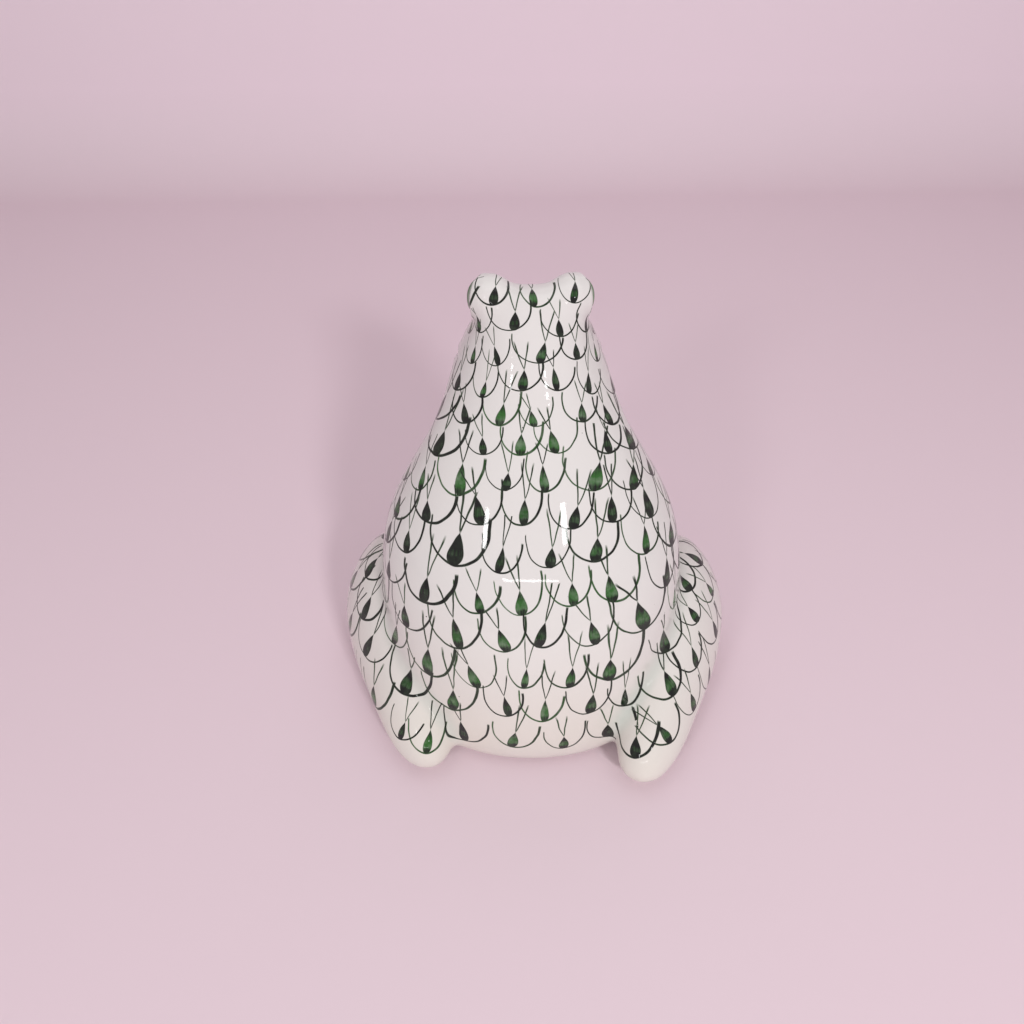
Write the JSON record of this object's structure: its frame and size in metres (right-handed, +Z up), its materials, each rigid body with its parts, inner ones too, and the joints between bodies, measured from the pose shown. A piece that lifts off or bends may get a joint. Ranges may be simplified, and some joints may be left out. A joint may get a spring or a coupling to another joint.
{
  "type": "frog figurine",
  "caption": "Seated glazed porcelain frog figurine, hollow and free-standing on a flat base, with a painted scale pattern over its back, head and haunches.",
  "frame": {"origin": "middle of the body's flat underside, on the surface that the frog sits on", "axes": "+Z up, the frog faces -Y, its left side is at +X"},
  "size_m": [0.1025, 0.0884, 0.1044],
  "materials": {
    "glazed_porcelain": "clear gloss glaze over a dark green brushed scale pattern"
  },
  "bodies": {
    "root": {"torso": "glazed_porcelain", "head": "glazed_porcelain", "eye_left": "glazed_porcelain", "eye_right": "glazed_porcelain", "haunch_left": "glazed_porcelain", "haunch_right": "glazed_porcelain", "hind_foot_left": "glazed_porcelain", "hind_foot_right": "glazed_porcelain", "foreleg_left": "glazed_porcelain", "foreleg_right": "glazed_porcelain", "front_foot_left": "glazed_porcelain", "front_foot_right": "glazed_porcelain"}
  },
  "joints": []
}
